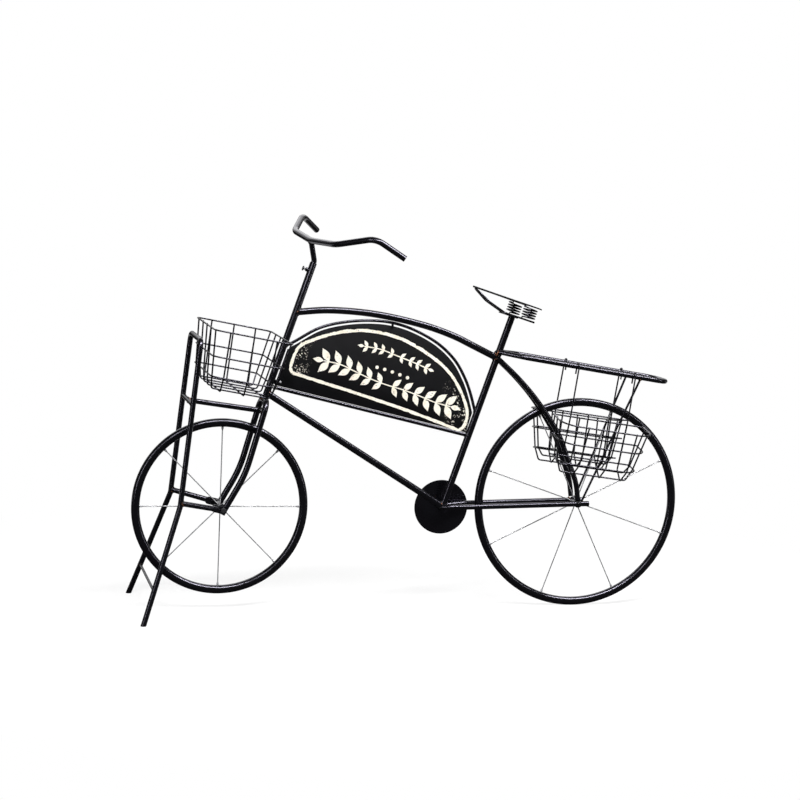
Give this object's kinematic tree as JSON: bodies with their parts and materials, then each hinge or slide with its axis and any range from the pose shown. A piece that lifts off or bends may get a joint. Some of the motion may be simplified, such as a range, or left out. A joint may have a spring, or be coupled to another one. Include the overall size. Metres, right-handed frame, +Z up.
{
  "type": "bicycle planter",
  "caption": "Decorative black steel bicycle on a front stand, with a wire basket at the front and one hung on each side of the rear rack to hold plant pots, and a sign plate in the frame.",
  "frame": {"origin": "on the floor, under the middle of the whole object's box", "axes": "+X towards the rack at the rear, +Z up, -Y to the rider's left; the plane of the wheels is parallel to XZ"},
  "size_m": [1.469, 0.515, 1.0164],
  "materials": {
    "black_paint": "semi-gloss black",
    "bright_wire": "bright",
    "zinc_bolt": "zinc plated",
    "sign_paint": "satin black with a cream border"
  },
  "bodies": {
    "frame": {"head_tube": "black_paint", "top_tube": "black_paint", "down_tube": "black_paint", "seat_tube": "black_paint", "seat_stay_left": "black_paint", "seat_stay_right": "black_paint", "chain_stay_left": "black_paint", "chain_stay_right": "black_paint", "chain_disc": "black_paint", "rack_loop": "black_paint", "rack_strut_left": "black_paint", "rack_strut_right": "black_paint", "fork": "black_paint", "fork_bridge": "black_paint", "front_axle": "zinc_bolt", "front_axle_nut": "zinc_bolt", "rear_axle": "black_paint", "stand_loop": "black_paint", "stand_rung": "black_paint", "stand_brace": "black_paint", "stand_tie_bar": "black_paint", "stand_bar_left": "black_paint", "stand_bar_right": "black_paint", "front_basket": "black_paint", "saddle_pan": "black_paint", "saddle_rails": "black_paint", "saddle_spring_left": "black_paint", "saddle_spring_right": "black_paint", "sign_arch": "black_paint", "sign_upright": "black_paint", "sign_base_rod": "black_paint", "sign_plate": "sign_paint", "sign_screw": "zinc_bolt", "sign_clip": "black_paint"},
    "front_wheel": {"front_rim": "black_paint", "front_hub": "black_paint", "front_spoke_1": "bright_wire", "front_spoke_2": "bright_wire", "front_spoke_3": "bright_wire", "front_spoke_4": "bright_wire", "front_spoke_5": "bright_wire", "front_spoke_6": "bright_wire", "front_spoke_7": "bright_wire", "front_spoke_8": "bright_wire"},
    "rear_wheel": {"rear_rim": "black_paint", "rear_hub": "black_paint", "rear_spoke_1": "bright_wire", "rear_spoke_2": "bright_wire", "rear_spoke_3": "bright_wire", "rear_spoke_4": "bright_wire", "rear_spoke_5": "bright_wire", "rear_spoke_6": "bright_wire", "rear_spoke_7": "bright_wire", "rear_spoke_8": "bright_wire"},
    "steering": {"stem": "black_paint", "handlebar": "black_paint"},
    "thumb_screw": {"thumb_screw": "zinc_bolt"},
    "rear_basket_left": {"rear_basket_left": "black_paint"},
    "rear_basket_right": {"rear_basket_right": "black_paint"}
  },
  "joints": [
    {"name": "front_wheel_spin", "type": "hinge", "parent": "frame", "child": "front_wheel", "pos_m": [-0.5055, -0.02726, 0.268], "axis": [0, 1, 0], "continuous": true},
    {"name": "rear_wheel_spin", "type": "hinge", "parent": "frame", "child": "rear_wheel", "pos_m": [0.4535, -0.02726, 0.281], "axis": [0, 1, 0], "continuous": true},
    {"name": "handlebar_turn", "type": "hinge", "parent": "frame", "child": "steering", "pos_m": [-0.28393, -0.02726, 0.9017], "axis": [0.309, 0, 0.9511], "range_deg": [-75, 45]},
    {"name": "thumb_screw_turn", "type": "hinge", "parent": "frame", "child": "thumb_screw", "pos_m": [-0.29073, -0.02726, 0.88077], "axis": [-0.9511, 0, 0.309], "range_deg": [0, 360]},
    {"name": "rear_basket_left_lift", "type": "slide", "parent": "frame", "child": "rear_basket_left", "axis": [0, 0, 1], "range_m": [0, 0.08]},
    {"name": "rear_basket_right_lift", "type": "slide", "parent": "frame", "child": "rear_basket_right", "axis": [0, 0, 1], "range_m": [0, 0.08]}
  ]
}
